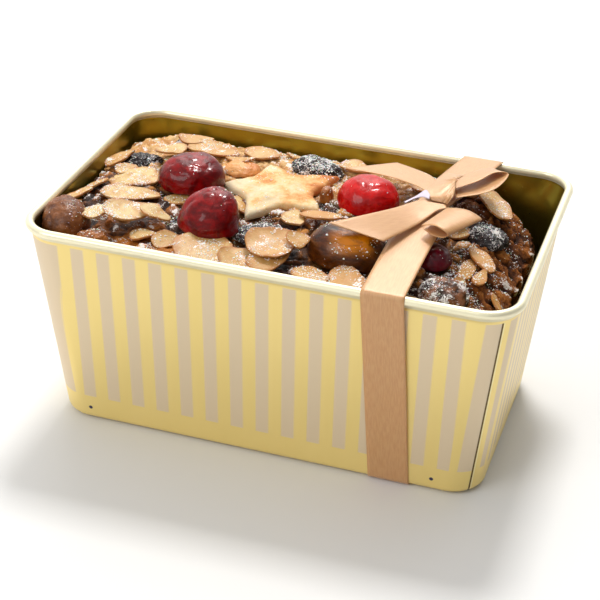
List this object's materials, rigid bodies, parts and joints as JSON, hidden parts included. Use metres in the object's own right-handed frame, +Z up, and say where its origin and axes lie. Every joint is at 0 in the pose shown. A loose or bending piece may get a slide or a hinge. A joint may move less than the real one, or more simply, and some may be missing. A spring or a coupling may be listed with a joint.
{
  "type": "fruit cake loaf in a ribbon-tied tin",
  "caption": "Rich fruit loaf cake in its own tapered striped tin, topped with halved cherries, a pastry star, dried fruit and flaked almonds, tied with a satin ribbon bow.",
  "frame": {"origin": "middle of the underside, on the surface the tin stands on", "axes": "+X along the tin's length towards the ribbon end, +Y from the front wall to the back wall, +Z up"},
  "size_m": [0.17, 0.1086, 0.0919],
  "materials": {
    "tin": "gold and taupe striped lacquer on tinplate, satin gloss",
    "cake": "dark baked crumb and crust, matt",
    "cherry": "glace cherry, glossy syrup",
    "pastry": "baked pastry, browned in patches, matt",
    "fig": "glazed fig, glossy",
    "caramel": "baked caramelised fruit, half gloss",
    "dried_fruit": "wrinkled dried fruit dusted with sugar",
    "almond": "toasted flaked almond, satin",
    "icing_sugar": "fine white sugar, matt",
    "ribbon": "satin weave, soft sheen"
  },
  "bodies": {
    "root": {"tin": "tin", "cake": "cake", "almond_01": "almond", "almond_02": "almond", "pastry_star": "pastry", "cherry_back_left": "cherry", "cherry_front_left": "cherry", "cherry_middle": "cherry", "cherry_under_ribbon": "cherry", "fig": "fig", "prune_back": "dried_fruit", "prune_front": "dried_fruit", "date_corner": "dried_fruit", "date_piece": "dried_fruit", "caramel_piece": "caramel", "toffee_bump": "caramel", "raisin_back_left": "dried_fruit", "raisin_left": "dried_fruit", "raisin_by_bow": "dried_fruit", "raisin_right": "dried_fruit", "prune_front_right": "dried_fruit", "almond_03": "almond", "almond_04": "almond", "almond_05": "almond", "almond_06": "almond", "almond_07": "almond", "almond_08": "almond", "almond_09": "almond", "almond_10": "almond", "almond_11": "almond", "almond_12": "almond", "almond_13": "almond", "almond_14": "almond", "almond_15": "almond", "almond_16": "almond", "almond_17": "almond", "almond_18": "almond", "almond_19": "almond", "almond_20": "almond", "almond_21": "almond", "almond_22": "almond", "almond_23": "almond", "almond_24": "almond", "almond_25": "almond", "almond_26": "almond", "almond_27": "almond", "almond_28": "almond", "ribbon_band": "ribbon", "ribbon_tail_left": "ribbon", "ribbon_tail_front": "ribbon", "ribbon_loop_back": "ribbon", "ribbon_loop_front": "ribbon", "ribbon_knot": "ribbon"}
  },
  "joints": []
}
